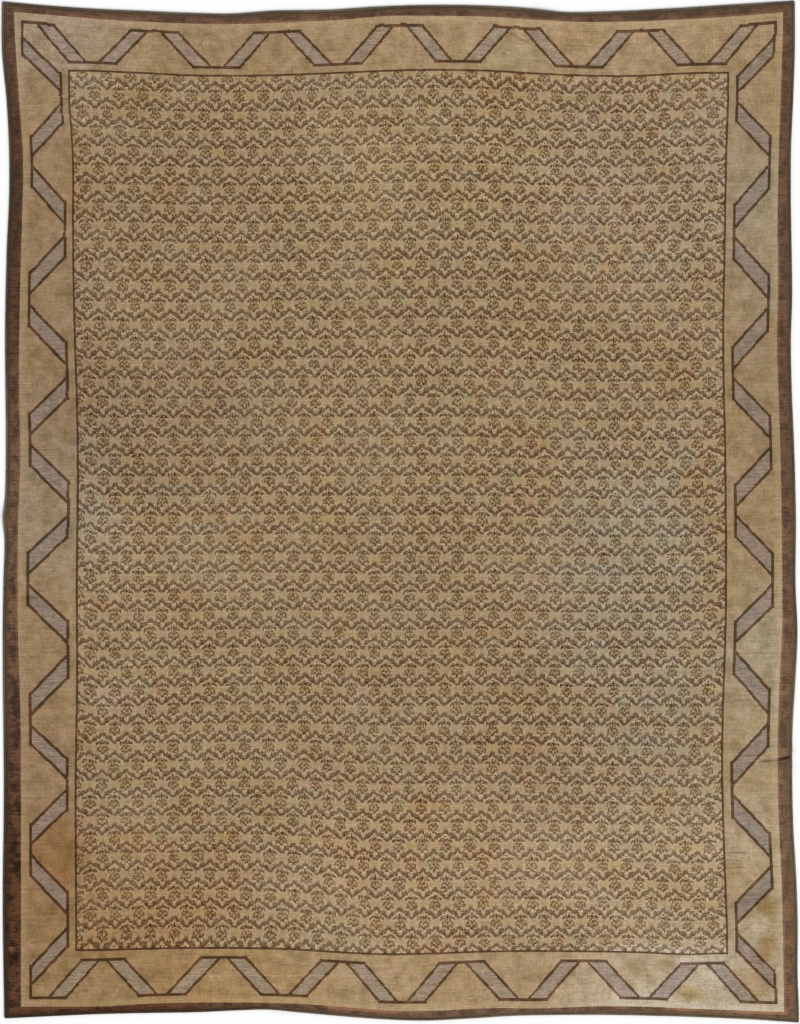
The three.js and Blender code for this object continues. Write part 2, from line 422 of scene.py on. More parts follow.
grid_columns, grid_rows = np.meshgrid(lines_across, lines_along)
grid_columns, grid_rows = grid_columns.ravel(), grid_rows.ravel()
grid_x, grid_y = stretched(grid_columns, grid_rows)
from_rim = np.minimum.reduce([
    grid_columns - lines_across[0], lines_across[-1] - grid_columns,
    grid_rows - lines_along[0], lines_along[-1] - grid_rows,
])
rim_share = np.clip(1 - from_rim / RIM_REACH, 0, 1)
floor_lift = relief(grid_x, grid_y, FOLDS)
pile_top = floor_lift + WEB + relief(grid_x, grid_y, CREASES) + uneven(grid_x, grid_y) * (1 - rim_share)
pile_top -= RIM_DROP * rim_share**2
top_points = np.stack([grid_x, grid_y, pile_top], axis=1)

back_columns = np.arange(0, count_across, BACK_STEP)
back_rows = np.arange(0, count_along, BACK_STEP)
back_picks = (back_rows[:, None] * count_across + back_columns[None, :]).ravel()
back_points = np.stack([grid_x[back_picks], grid_y[back_picks], floor_lift[back_picks]], axis=1)
print("body mesh lines:", count_across, "by", count_along)
print("lines on the back:", len(back_columns), "by", len(back_rows))

# %% Faces of the body


def grid_faces(across, along, offset, flip):
    """Four-sided faces of a grid of points, its rows running down the rug."""
    column, row = np.meshgrid(np.arange(across - 1), np.arange(along - 1))
    a = (row * across + column).ravel() + offset
    faces = np.stack([a, a + across, a + across + 1, a + 1], axis=1)
    return faces[:, ::-1] if flip else faces


def wall_faces(top_run, back_run):
    """One face for each back line: two corners on the back, and all the pile side's corners over them."""
    faces = []
    for step in range(len(back_run) - 1):
        over = top_run[step * BACK_STEP:(step + 1) * BACK_STEP + 1]
        faces.append([*back_run[step:step + 2].tolist(), *over[::-1].tolist()])
    return faces


top_ids = np.arange(count_across * count_along).reshape(count_along, count_across)
back_ids = np.arange(len(back_picks)).reshape(len(back_rows), len(back_columns)) + top_ids.size
top_faces = grid_faces(count_across, count_along, 0, False)
back_faces = grid_faces(len(back_columns), len(back_rows), top_ids.size, True)
walls = (
    wall_faces(top_ids[-1], back_ids[-1])
    + wall_faces(top_ids[::-1, -1], back_ids[::-1, -1])
    + wall_faces(top_ids[0, ::-1], back_ids[0, ::-1])
    + wall_faces(top_ids[:, 0], back_ids[:, 0])
)
body_mesh = bpy.data.meshes.new("knotted_body")
body_mesh.from_pydata(
    np.concatenate([top_points, back_points]).tolist(), [], top_faces.tolist() + back_faces.tolist() + walls
)
body = bpy.data.objects.new("knotted_body", body_mesh)
scene.collection.objects.link(body)
triangles = 2 * len(top_faces) + 2 * len(back_faces) + sum(len(face) - 2 for face in walls)
print("body triangles:", triangles)

# %% The body's two maps
plan_of_corner = np.concatenate([
    np.stack([grid_columns, grid_rows], axis=1),
    np.stack([grid_columns[back_picks], grid_rows[back_picks]], axis=1),
])
share = (plan_of_corner - plan_of_corner.min(0)) / np.ptp(plan_of_corner, axis=0)
face_count = len(body_mesh.polygons)
loop_corner = np.zeros(len(body_mesh.loops), int)
body_mesh.loops.foreach_get("vertex_index", loop_corner)
loop_total = np.zeros(face_count, int)
body_mesh.polygons.foreach_get("loop_total", loop_total)
loop_face = np.repeat(np.arange(face_count), loop_total)
on_back = (loop_face >= len(top_faces)) & (loop_face < len(top_faces) + len(back_faces))
under_wall = (loop_face >= len(top_faces) + len(back_faces)) & (loop_corner >= top_ids.size)

knot_map = body_mesh.uv_layers.new(name="Knots")
knot_map.data.foreach_set("uv", plan_of_corner[loop_corner].ravel())

WALL_SHOWN = 0.004             # share of the baked square that a wall has
AT_RIM = 1e-6
spread = share[loop_corner]
outward = np.where(spread < AT_RIM, -WALL_SHOWN, 0) + np.where(spread > 1 - AT_RIM, WALL_SHOWN, 0)
spread = spread + outward * under_wall[:, None]
room = 1 - 2 * BAKE_MARGIN
baked = BAKE_MARGIN + room * spread
baked[:, 1] = np.where(on_back, baked[:, 1] * BAKE_SPLIT, BAKE_SPLIT + (1 - baked[:, 1]) * (1 - BAKE_SPLIT))
bake_map = body_mesh.uv_layers.new(name="OFBake")
bake_map.data.foreach_set("uv", baked.ravel())

smooth = np.ones(face_count, bool)
smooth[len(top_faces) + len(back_faces):] = False
body_mesh.polygons.foreach_set("use_smooth", smooth)
print("map corners:", len(loop_corner))

# %% [markdown]
# The pile side takes two materials. Most of its faces lie wholly inside the field, and a knot there
# never needs the border, the guard or their marks, so those faces get a shorter material. The back has
# one of its own.

# %% Which material each face takes
WHOLE_PILE, BACK, FIELD_PILE = 0, 1, 2
FIELD_MARGIN = 10              # knots inside the frame line


def between_frames(lines, first_frame, last_frame):
    """For each gap between two mesh lines, whether it lies well inside the frame lines."""
    return (lines[:-1] > first_frame + FIELD_MARGIN) & (lines[1:] < last_frame - FIELD_MARGIN)


field_columns = between_frames(lines_across, SIDE_FRAME, KNOTS_ACROSS - SIDE_FRAME)
field_rows = between_frames(lines_along, TOP_FRAME, KNOTS_ALONG - BOTTOM_FRAME)
face_material = np.full(face_count, WHOLE_PILE)
face_material[:len(top_faces)][np.outer(field_rows, field_columns).ravel()] = FIELD_PILE
face_material[len(top_faces):len(top_faces) + len(back_faces)] = BACK
print("faces of the field alone:", (face_material == FIELD_PILE).sum(), "of", len(top_faces))

# %% [markdown]
# The wrapped edges. The outer warps of a knotted rug are bound together and wrapped with wool, turn by
# turn, so the edge is a hard rope with a ridge for each turn. The ridges are real here: the edge is one
# closed tube whose section swells and shrinks with every turn. Each turn leans a little, because the
# yarn climbs as it goes round, and no two turns are quite alike.

# %% Wrapping yarn round an edge
TURN = 0.0050                  # from one turn of yarn to the next
RINGS_PER_TURN = 4
SIDES = 10                     # flats round an edge
RIDGE = 0.0009                 # how far a turn stands proud of the groove beside it
LEAN = 0.0013                  # how far the top of a turn leans ahead of its middle
CORNER = 0.008                 # radius of the rug's corners
TURN_SPREAD = 0.14             # how unlike the turns are
GIRTH = 0.35                   # how much the thickest turns stand out, in shares of the ridge
THINNEST = -0.35               # the thinnest turns, in shares of that
RIDGE_CURVE = 0.7              # below 1 the ridges are full and the grooves narrow
END_TAPER = 0.0012             # how much thinner an edge is at its very ends


def turns_of_yarn(first, last, seed):
    """The rings of a tube from first to last: the place of each, and how far it stands out or in."""
    draw = np.random.RandomState(seed)
    turns = round((last - first) / TURN)
    widths = 1 + TURN_SPREAD * draw.uniform(-1, 1, turns)
    marks = first + (last - first) * np.concatenate([[0], np.cumsum(widths)]) / widths.sum()
    girth = draw.uniform(THINNEST, 1, turns + 1) * RIDGE * GIRTH
    phase = np.arange(turns * RINGS_PER_TURN + 1) / RINGS_PER_TURN
    place = np.interp(phase, np.arange(turns + 1), marks)
    ridge = RIDGE * np.abs(np.sin(np.pi * phase)) ** RIDGE_CURVE
    size = ridge - RIDGE + np.interp(phase, np.arange(turns + 1), girth) * (ridge > 0)
    size[[0, -1]] -= END_TAPER
    return place, size


def rounded_corner(place, first, last):
    """How far an edge has turned inwards at a place, which it does near both of its ends."""
    short = np.clip(CORNER - np.minimum(place - first, last - place), 0, CORNER)
    return CORNER - np.sqrt(CORNER**2 - short**2)


def tube_faces(rings):
    """The four-sided faces round a tube, and its two caps."""
    corner, ring = np.meshgrid(np.arange(SIDES), np.arange(rings - 1))
    a = (ring * SIDES + corner).ravel()
    b = (ring * SIDES + (corner + 1) % SIDES).ravel()
    around = np.stack([a, b, b + SIDES, a + SIDES], axis=1)
    last_ring = np.arange(SIDES) + (rings - 1) * SIDES
    return around.tolist(), [np.arange(SIDES)[::-1].tolist(), last_ring.tolist()]


def wrapped_edge(name, side, along, seed):
    """A closed tube along one edge of the rug, with a ridge for every turn of yarn."""
    first, last = edge_points[side][0][0], edge_points[side][-1][0]
    place, size = turns_of_yarn(first, last, seed)
    angle = 2 * np.pi * (np.arange(SIDES) + 0.5) / SIDES
    out = (EDGE_WIDTH / 2 + size)[:, None] * np.cos(angle)[None, :]
    up = (EDGE_HEIGHT / 2 + size)[:, None] * np.sin(angle)[None, :] + EDGE_HEIGHT / 2
    leaned = np.clip(place[:, None] + LEAN * np.sin(angle)[None, :], first, last)
    inward = 1 if side in ("left", "bottom") else -1
    across = edge_line[side](leaned) + out + inward * rounded_corner(leaned, first, last) * along
    points = [leaned, across] if along == 0 else [across, leaned]
    flat_x, flat_y = points[0].ravel(), points[1].ravel()
    lift = relief(flat_x, flat_y, FOLDS)
    corners = np.stack([flat_x, flat_y, np.maximum(up.ravel(), 0) + lift], axis=1)

    around, caps = tube_faces(len(place))
    faces = around + caps
    if along == 1:
        faces = [face[::-1] for face in faces]
    mesh = bpy.data.meshes.new(name)
    mesh.from_pydata(corners.tolist(), [], faces)
    mesh.polygons.foreach_set("use_smooth", np.arange(len(faces)) < len(around))

    strip = mesh.uv_layers.new(name="Turns")
    loop_corner = np.zeros(len(mesh.loops), int)
    mesh.loops.foreach_get("vertex_index", loop_corner)
    turn_of = loop_corner // SIDES / RINGS_PER_TURN
    strip.data.foreach_set("uv", np.stack([turn_of, loop_corner % SIDES / SIDES], axis=1).ravel())
    piece = bpy.data.objects.new(name, mesh)
    scene.collection.objects.link(piece)
    print(name, "turns:", len(place) // RINGS_PER_TURN, "triangles:", 2 * len(around) + 2 * (SIDES - 2))
    return piece


wrapped = {
    side: wrapped_edge(f"wrapped_{side}_edge", side, along, seed)
    for seed, (side, (node, along)) in enumerate(EDGE_NODES.items(), start=3)
}

# %% [markdown]
# Shader maths reads best as plain arithmetic. This small class stands for one socket of a material's
# node tree. Adding or multiplying two of them, or one and a number, adds the Math node that does it, and
# any other kind of node comes from one method that sets its settings first and its sockets next.

# %% Nodes as arithmetic


class Link:
    """One socket of a node tree, with arithmetic."""

    def __init__(self, tree, socket=None):
        self.tree = tree
        self.socket = socket

    def add(self, kind, settings=None, sockets=None, output=0):
        """Adds a node: first its settings, then the values or links of its sockets."""
        node = self.tree.nodes.new(kind)
        for name, value in (settings or {}).items():
            setattr(node, name, value)
        for name, value in (sockets or {}).items():
            if isinstance(value, Link):
                self.tree.links.new(value.socket, node.inputs[name])
            else:
                node.inputs[name].default_value = value
        return Link(self.tree, node.outputs[output])

    def ramp(self, stops, blend="CONSTANT"):
        """A colour ramp that this feeds. stops are pairs of a place and a colour."""
        ramp = self.add("ShaderNodeValToRGB", None, {0: self})
        elements = ramp.socket.node.color_ramp.elements
        ramp.socket.node.color_ramp.interpolation = blend
        for number, (place, colour) in enumerate(stops):
            stop = elements[number] if number < 2 else elements.new(1)
            stop.position = place
            stop.color = (*colour, 1)
        return ramp

    def steps(self, colours):
        """Equal steps with no blending between them, one for each colour."""
        return self.ramp([(number / len(colours), colour) for number, colour in enumerate(colours)])

    def out(self, name):
        """Another output of the same node."""
        return Link(self.tree, self.socket.node.outputs[name])

    def feed(self, shader, name):
        """Links this to one of the shader's sockets."""
        self.tree.links.new(self.socket, shader.inputs[name])

    def map_place(self, name):
        """The two coordinates of one of the mesh's maps."""
        both = self.add("ShaderNodeSeparateXYZ", None, {0: self.add("ShaderNodeUVMap", {"uv_map": name})})
        return both, both.out("Y")

    def place(self):
        """X and Y in metres."""
        point = self.add("ShaderNodeTexCoord", None, None, "Object")
        both = self.add("ShaderNodeSeparateXYZ", None, {0: point})
        return both, both.out("Y")

    def shifts(self):
        """Two numbers around 0, out of this noise's colour."""
        both = self.add("ShaderNodeSeparateColor", None, {0: self.out("Color")})
        return both - 0.5, both.out("Green") - 0.5

    def math(self, operation, *others):
        values = {number: value for number, value in enumerate((self, *others))}
        return self.add("ShaderNodeMath", {"operation": operation}, values)

    def reflected(self, operation, other):
        """The same with the two the other way round."""
        return self.add("ShaderNodeMath", {"operation": operation}, {0: other, 1: self})

    def __add__(self, other):
        return self.math("ADD", other)

    __radd__ = __add__

    def __sub__(self, other):
        return self.math("SUBTRACT", other)

    def __rsub__(self, other):
        return self.reflected("SUBTRACT", other)

    def __mul__(self, other):
        return self.math("MULTIPLY", other)

    __rmul__ = __mul__

    def __truediv__(self, other):
        return self.math("DIVIDE", other)

    def __gt__(self, other):
        return self.math("GREATER_THAN", other)

    def __lt__(self, other):
        return self.math("LESS_THAN", other)

    def __abs__(self):
        return self.math("ABSOLUTE")

    def floor(self):
        return self.math("FLOOR")

    def part(self):
        return self.math("FRACT")

    def least(self, other):
        return self.math("MINIMUM", other)

    def most(self, other):
        return self.math("MAXIMUM", other)

    def wrap(self, period):
        return self.math("FLOORED_MODULO", period)

    def swing(self, reach):
        """The distance from the nearest multiple of twice the reach."""
        return self.math("PINGPONG", reach)

    def ease(self, low, high, start=0.0, end=1.0):
        """Slides softly from start to end as this goes from low to high."""
        settings = {"interpolation_type": "SMOOTHSTEP"}
        sockets = {"Value": self, "From Min": low, "From Max": high, "To Min": start, "To Max": end}
        return self.add("ShaderNodeMapRange", settings, sockets)

    def pick(self, off, on):
        """A colour: off where this is 0, and on where it is 1."""
        ends = [value if isinstance(value, Link) else (*value, 1) for value in (off, on)]
        sockets = {0: self, 6: ends[0], 7: ends[1]}
        return self.add("ShaderNodeMix", {"data_type": "RGBA"}, sockets, output=2)

    def tinted(self, tint, share=1.0, blend="MULTIPLY"):
        """This colour under a tint. A share below 1 weakens the tint."""
        tint = tint if isinstance(tint, Link) else (*tint, 1)
        settings = {"data_type": "RGBA", "blend_type": blend}
        return self.add("ShaderNodeMix", settings, {0: share, 6: self, 7: tint}, output=2)

    def scaled(self, factor):
        """This colour, darker or lighter by a factor."""
        return self.tinted(self.point(factor, factor, factor))

    def point(self, x, y, z=0.0):
        return self.add("ShaderNodeCombineXYZ", None, {0: x, 1: y, 2: z})

    def noise(self, x, y, scale=1.0, detail=2.0, roughness=0.5, seed=0.0):
        """Smooth noise around 0.5 at a place, and three such in its Color output."""
        at = self.point(x + seed, y)
        sockets = {"Vector": at, "Scale": scale, "Detail": detail, "Roughness": roughness}
        return self.add("ShaderNodeTexNoise", {"noise_dimensions": "2D"}, sockets)

    def chance(self, x, y):
        """A number from 0 to 1 that has nothing to do with its neighbours'."""
        return self.add("ShaderNodeTexWhiteNoise", {"noise_dimensions": "2D"}, {0: self.point(x, y)})

# %% Materials and the colours of wool


def new_material(name):
    """A material, its shader, and a link that its nodes start from."""
    material = bpy.data.materials.new(name)
    material.use_nodes = True
    shader = material.node_tree.nodes["Principled BSDF"]
    return material, shader, Link(material.node_tree)


HAZE = (0.009, 0.0065, 0.005)  # the light that the surface of any wool adds to its colour
DARKEST = 0.002                # no wool is blacker


def wool(red, green, blue):
    """A colour as it is seen, in screen values of 0 to 255, as the light that a shader works with."""
    shares = [value / 255 for value in (red, green, blue)]
    light = [s / 12.92 if s <= 0.04045 else ((s + 0.055) / 1.055) ** 2.4 for s in shares]
    return tuple(max(value - haze, DARKEST) for value, haze in zip(light, HAZE))


# %% [markdown]
# The field's repeat, charted on squared paper, as a weaver would. Each letter is a knot and each line a
# row of knots. Only half of the repeat is drawn, from the middle of the flower on the left to the
# middle of the gap on the right, and the other half is its mirror. Every second row of flowers starts
# half a repeat further on. A brown garland arches over each flower and dips to the next.

# %% The chart of one flower
YARNS = {                      # letter: colour, and the same yarn where it has faded
    ".": (wool(165, 141, 108), wool(168, 146, 114)),      # sand ground
    "c": (wool(174, 153, 123), wool(177, 157, 129)),      # cream
    "m": (wool(120, 96, 71), wool(132, 109, 84)),         # garland
    "o": (wool(97, 73, 48), wool(113, 90, 65)),           # garland's outline
    "d": (wool(72, 49, 25), wool(95, 72, 47)),            # stem
    "b": (wool(103, 77, 48), wool(117, 92, 63)),          # leaves
    "r": (wool(137, 111, 81), wool(145, 120, 91)),        # rust petals
    "g": (wool(163, 137, 98), wool(165, 141, 106)),       # golden shade in the gap
}
CHART = [
    "mmo....bbrbb.",
    "ooo.c....c.bb",
    "moom..m.c..bd",
    ".moomoom.o.cb",
    "ccmommmooo.cc",
    "cc.oommmmo.cc",
    "dc...ooooom..",
    "dccc..oddom..",
    "d.bb.cc.ooom.",
    "ddrrbb..cmooo",
    "dbrbbdb.c.ooo",
    "b.bb.bd....rr",
    "b...c.b......",
    "b.bb.c.......",
    "rbbbr....gggg",
    "bb..br..ggggg",
    "br..bb..ggggg",
    "r.brrb.....gg",
    ".rdbrb..c..mm",
]
LETTERS = "".join(YARNS)
CHART_ROWS = len(CHART)
CHART_COLUMNS = len(CHART[0])
FLOWER_PITCH = 2 * (CHART_COLUMNS - 1)
FIRST_FLOWER = 14              # rows of knots from the frame line to the first row of flowers
FLOWER_OFFSET = 1              # the first flower's middle is on the frame line
PLAIN_GAPS = 0.45              # share of the gaps that have no golden shade
WEAR_FADE, LOT_FADE = 0.75, 0.4            # how far wear and a flower's dye lot fade its yarn
WARM_LOT, COOL_LOT = (1.035, 0.99, 0.975), (0.965, 1.0, 1.015)
FULL = 2**CHART_COLUMNS
ROUNDING = 0.25                # keeps a whole number whole when the shader's own rounding is a little low


def packed_row(row, place):
    """One bit of every knot's letter number in a chart row, packed into one share between 0 and 1."""
    return sum((LETTERS.index(letter) >> place & 1) << column for column, letter in enumerate(row)) / FULL


packed_chart = [tuple(packed_row(row, place) for place in range(3)) for row in CHART]
print("chart:", CHART_ROWS, "rows by", CHART_COLUMNS, "knots,", len(LETTERS), "yarns")

# %% [markdown]
# A shader can't look a knot up in a list, but it can hold the chart in a colour ramp: one hard stop for
# each row, with the row's knots packed as bits of its red, green and blue. Halving the number once for
# each column and keeping what is odd gets the knot's letter back, and a second ramp turns the letter
# into yarn. That keeps the whole field in a few nodes, crisp at any distance.

# %% Reading the chart


def charted(column, row, faded):
    """The field's colour at a place in knots from the frame line's corner."""
    down = row - (FIRST_FLOWER - CHART_ROWS / 2)
    flower_row = (down / CHART_ROWS).floor()
    chart_row = down.wrap(CHART_ROWS).floor()
    shifted = column + FLOWER_OFFSET + flower_row.wrap(2) * (FLOWER_PITCH / 2)
    flower = (shifted / FLOWER_PITCH + 0.5).floor()
    chart_column = (shifted.swing(FLOWER_PITCH / 2) + 0.5).floor()
    packed = ((chart_row + 0.5) / CHART_ROWS).steps(packed_chart)
    bits = row.add("ShaderNodeSeparateColor", None, {0: packed})
    halving = chart_column.reflected("POWER", 0.5)
    letter = 0.5               # the middle of a letter's step in the yarn ramps
    for place, name in enumerate(("Red", "Green", "Blue")):
        odd = ((bits.out(name) * FULL + ROUNDING) * halving).floor().wrap(2)
        letter = odd * 2**place + letter
    share = letter / len(LETTERS)
    fresh = share.steps([YARNS[yarn][0] for yarn in LETTERS])
    pale = share.steps([YARNS[yarn][1] for yarn in LETTERS])
    dye_lot = row.chance(flower, flower_row)
    gap_lot = row.chance((shifted / FLOWER_PITCH).floor() + 0.5, flower_row)
    colour = (faded * WEAR_FADE + dye_lot * LOT_FADE).least(1.0).pick(fresh, pale)
    golden = letter > len(LETTERS) - 1         # the last yarn of the table
    plain_gap = golden * (gap_lot < PLAIN_GAPS)
    colour = plain_gap.pick(colour, YARNS["."][0])
    return colour.tinted(dye_lot.pick(WARM_LOT, COOL_LOT))


# %% [markdown]
# The border is a folded ribbon between two lines. It lies on the outer line for a stretch, runs down at
# an angle to the inner one, lies there, and climbs back. The weaver turned it by eye, so each fold is
# put where it is on the real rug, in knots along the border. From those places a ramp gives every knot
# its phase: 0 in the middle of an outer fold, 1 in the middle of an inner one. The phase, less the
# sideways run of the ribbon on its way down, tells how far into the ribbon a knot lies.

# %% The folded ribbon
FOLDS_LEFT = [
    24.6, 89.6, 152.3, 220.2, 288.9, 360.1, 427.9, 496.8, 565.7, 635.2, 705.9, 768.5, 833.1, 903.6,
    975.0,
]
FOLDS_RIGHT = [
    25.4, 88.0, 149.3, 220.8, 290.6, 360.4, 428.1, 496.1, 564.1, 630.0, 700.9, 771.7, 842.5, 907.6,
    973.7,
]
FOLDS_TOP = [
    32.0, 92.7, 152.8, 215.4, 273.4, 334.3, 395.9, 452.5, 510.3, 572.4, 632.5, 691.6, 754.5,
]
FOLDS_BOTTOM = [
    35.7, 95.5, 154.6, 216.2, 276.9, 334.6, 394.5, 453.4, 515.7, 575.6, 636.4, 694.7, 755.4,
]
SIDE_SPAN, END_SPAN = 67.2, 60.4     # knots from an outer fold to the next inner one
# In knots: near and far are the ribbon's two lines, from the fold, and each run is how far a line moves on
# as it crosses the border. A corner fold lies nearer to the rim by its pull, and its lines by corner.
RIBBONS = {
    "left": dict(
        outer=LEFT_RIBBON, pull=0.0, across=36.4, near=3.2, near_run=35.6, far=26.8, far_run=36.4,
        corner=(2.3, -0.8),
    ),
    "right": dict(
        outer=23.5, pull=1.8, across=36.1, near=2.4, near_run=38.0, far=28.1, far_run=37.3,
        corner=(2.3, -1.8),
    ),
    "top": dict(
        outer=19.1, pull=0.5, across=35.4, near=4.4, near_run=31.4, far=24.2, far_run=32.2,
        corner=(-0.4, -0.7),
    ),
    "bottom": dict(
        outer=18.7, pull=0.3, across=36.7, near=2.8, near_run=33.8, far=24.9, far_run=33.7,
        corner=(1.2, -0.2),
    ),
}
SIDE_LINE, END_LINE = 3.9, 3.4         # a slanting line's thickness in knots, measured along the border
FOLD_LINE = 1.5                # half the thickness of a fold line
FIRST_INNER = 90               # the first inner fold from a corner; the ribbon is narrower before it
PULL_FULL, PULL_GONE = 25, 55  # knots from the corner

# %% Masks of the ribbon


def phase_along(place, length, folds):
    """0 at the outer folds and 1 at the inner ones, sliding evenly between them."""
    stops = [(0.0, 0)] + [(fold / length, number % 2) for number, fold in enumerate(folds)] + [(1.0, 0)]
    return (place / length).ramp([(at, (value,) * 3) for at, value in stops], "LINEAR")


def either(mask, off, on):
    """off where the mask is 0 and on where it is 1."""
    return mask * (on - off) + off


def ribbon(phase, span, thickness, from_rim, from_corner, at_other, one, other):
    """Depth in a border, and masks of its ribbon's cloth and outline. at_other picks the other border."""
    in_corner = from_corner < FIRST_INNER
    pulled = from_corner.ease(PULL_FULL, PULL_GONE, either(at_other, one["pull"], other["pull"]), 0)
    outer = either(at_other, one["outer"], other["outer"]) - pulled
    across = either(at_other, one["across"], other["across"])
    sides = []
    for number, line in enumerate(("near", "far")):
        corner = either(at_other, one["corner"][number], other["corner"][number])
        start = either(at_other, one[line], other[line]) + in_corner * corner
        sides.append((start, either(at_other, one[line + "_run"], other[line + "_run"])))
    (near, near_run), (far, far_run) = sides
    depth = from_rim - outer
    share = depth / across
    from_fold = phase * span
    inside = (from_fold - near - share * near_run).least(far + share * far_run - from_fold)
    between = (depth > 0) * (share < 1)
    cloth = (inside > 0) * between
    inner = (inside > thickness) * between
    outer_fold = (abs(depth) < FOLD_LINE) * (from_fold < far)
    inner_fold = (abs(depth - across) < FOLD_LINE) * (from_fold > near + near_run)
    return depth, inner, (cloth - inner).most(outer_fold).most(inner_fold)


def border(column, row):
    """Masks of ribbon and outline all round, at a place in knots of the plan."""
    half_across, half_along = KNOTS_ACROSS / 2, KNOTS_ALONG / 2
    from_side = half_across - abs(column - half_across)
    from_end = half_along - abs(row - half_along)
    at_right, at_bottom = column > half_across, row > half_along
    left, right = [phase_along(row, KNOTS_ALONG, folds) for folds in (FOLDS_LEFT, FOLDS_RIGHT)]
    top, bottom = [phase_along(column, KNOTS_ACROSS, folds) for folds in (FOLDS_TOP, FOLDS_BOTTOM)]
    side_phase = left + (right - left) * at_right
    end_phase = top + (bottom - top) * at_bottom
    sides, ends = (RIBBONS["left"], RIBBONS["right"]), (RIBBONS["top"], RIBBONS["bottom"])
    side = ribbon(side_phase, SIDE_SPAN, SIDE_LINE, from_side, from_end, at_right, *sides)
    end = ribbon(end_phase, END_SPAN, END_LINE, from_end, from_side, at_bottom, *ends)
    at_side = side[0] < end[0]
    kept = (side[0] > -FOLD_LINE) * (end[0] > -FOLD_LINE)
    cloth, outline = [(side[number] * at_side + end[number] * (1 - at_side)) * kept for number in (1, 2)]
    return cloth, outline, at_side, from_side, from_end


# %% [markdown]
# No two parts of an old rug have the same tone: the sand was dyed in several lots, the light has paled
# one side, and feet and spills have left their marks. Each such place is one soft patch, put at its
# spot in metres, with the tint that the wool takes there. A little noise in the place that the patch
# reads keeps its rim ragged. Scratches and stains are small patches of the same kind, long and narrow
# and turned to lie along their line. The dark lines along the pinch and the slack crease are painted
# shade in those creases, made as patches of the same kind and turned to lie along their crease.

# %% Patches and marks
# A patch reaches out from x and y in metres, and its turn is in degrees from +X.
Patch = namedtuple("Patch", "name x y reach_x reach_y tint turn", defaults=[0])
UNCHANGED = (1, 1, 1)          # the tint that leaves a colour as it is
YELLOWED, YELLOW_TINT = 0.45, (0.96, 0.88, 0.70)     # how strongly old damp shows, and its tint
PATCHES = [
    Patch("dull left side", -1.62, 0.55, 0.42, 1.45, (0.89, 0.87, 0.88)),
    Patch("cool left middle", -1.50, 0.02, 0.45, 0.40, (1.02, 1.10, 1.24)),
    Patch("golden lower left border", -1.60, -1.30, 0.32, 0.95, (0.90, 0.84, 0.84)),
    Patch("golden lower left corner", -1.38, -1.95, 0.50, 0.55, (0.92, 0.86, 0.74)),
    Patch("golden bottom border", -0.72, -2.08, 0.55, 0.24, (1.08, 1.02, 0.89)),
    Patch("pale bottom border", 0.36, -2.10, 0.95, 0.24, (1.18, 1.19, 1.22)),
    Patch("pale lower right corner", 1.37, -2.13, 0.74, 0.26, (1.44, 1.74, 2.28)),
    Patch("golden wedge at the corner", 1.56, -2.07, 0.19, 0.16, (0.78, 0.63, 0.48)),
    Patch("golden wedge by the bottom", 1.07, -2.01, 0.20, 0.10, (0.84, 0.76, 0.66)),
    Patch("pale strip under the field", 1.00, -1.955, 0.46, 0.05, (1.19, 1.27, 1.38)),
    Patch("pale patch, lower right", 1.54, -1.82, 0.09, 0.09, (1.08, 1.14, 1.20)),
    Patch("pale lower right side", 1.64, -1.30, 0.34, 1.20, (1.15, 1.25, 1.38)),
    Patch("pale side above it", 1.60, -0.58, 0.28, 0.34, (1.01, 1.09, 1.19)),
    Patch("cool upper right side", 1.60, 1.25, 0.24, 0.55, (0.99, 1.09, 1.22)),
    Patch("greenish upper left corner", -1.52, 2.08, 0.36, 0.26, (1.05, 1.12, 1.38)),
    Patch("pale upper right border", 0.70, 2.08, 1.30, 0.24, (1.15, 1.17, 1.20)),
    Patch("greenish spot by the top", 0.48, 1.97, 0.16, 0.10, (0.97, 1.06, 1.06)),
    Patch("cool right field", 1.00, -0.40, 0.46, 1.05, (1.00, 1.12, 1.30)),
    Patch("cool upper right field", 1.10, 1.45, 0.60, 0.60, (1.05, 1.09, 1.20)),
    Patch("fresh upper field", 0.10, 1.50, 0.85, 0.45, (1.07, 1.08, 1.07)),
    Patch("green shade at the left", -1.05, 0.42, 0.65, 0.50, (0.89, 0.88, 0.90)),
    Patch("dull upper left field", -1.00, 1.45, 0.80, 0.60, (0.96, 0.94, 0.94)),
    Patch("warm bottom of the field", 0.05, -1.60, 0.85, 0.50, (1.15, 1.13, 1.14)),
    Patch("pale foot of the field", 1.10, -1.62, 0.70, 0.50, (1.17, 1.20, 1.26)),
    Patch("golden foot of the field", -1.05, -1.65, 0.60, 0.45, (1.03, 0.95, 0.90)),
    Patch("lilac spot left", -1.23, -0.83, 0.16, 0.08, (1.04, 1.03, 1.12)),
    Patch("lilac spot middle", -0.18, -0.83, 0.18, 0.08, (1.04, 1.03, 1.12)),
    Patch("golden streak, lower left", -1.50, -1.48, 0.15, 0.20, (0.91, 0.80, 0.64)),
    Patch("dull right side", 1.60, 0.55, 0.20, 0.50, (0.93, 0.94, 0.97)),
    Patch("brown spill, lower right", 1.61, -1.715, 0.07, 0.05, (0.72, 0.63, 0.44)),
    Patch("second spill, lower right", 1.61, -1.93, 0.08, 0.07, (0.84, 0.72, 0.55)),
    Patch("spill by the bottom", 1.29, -2.12, 0.07, 0.04, (0.80, 0.71, 0.52)),
    Patch("golden wedge, lower right", 1.45, -1.70, 0.10, 0.16, (0.88, 0.84, 0.82)),
]
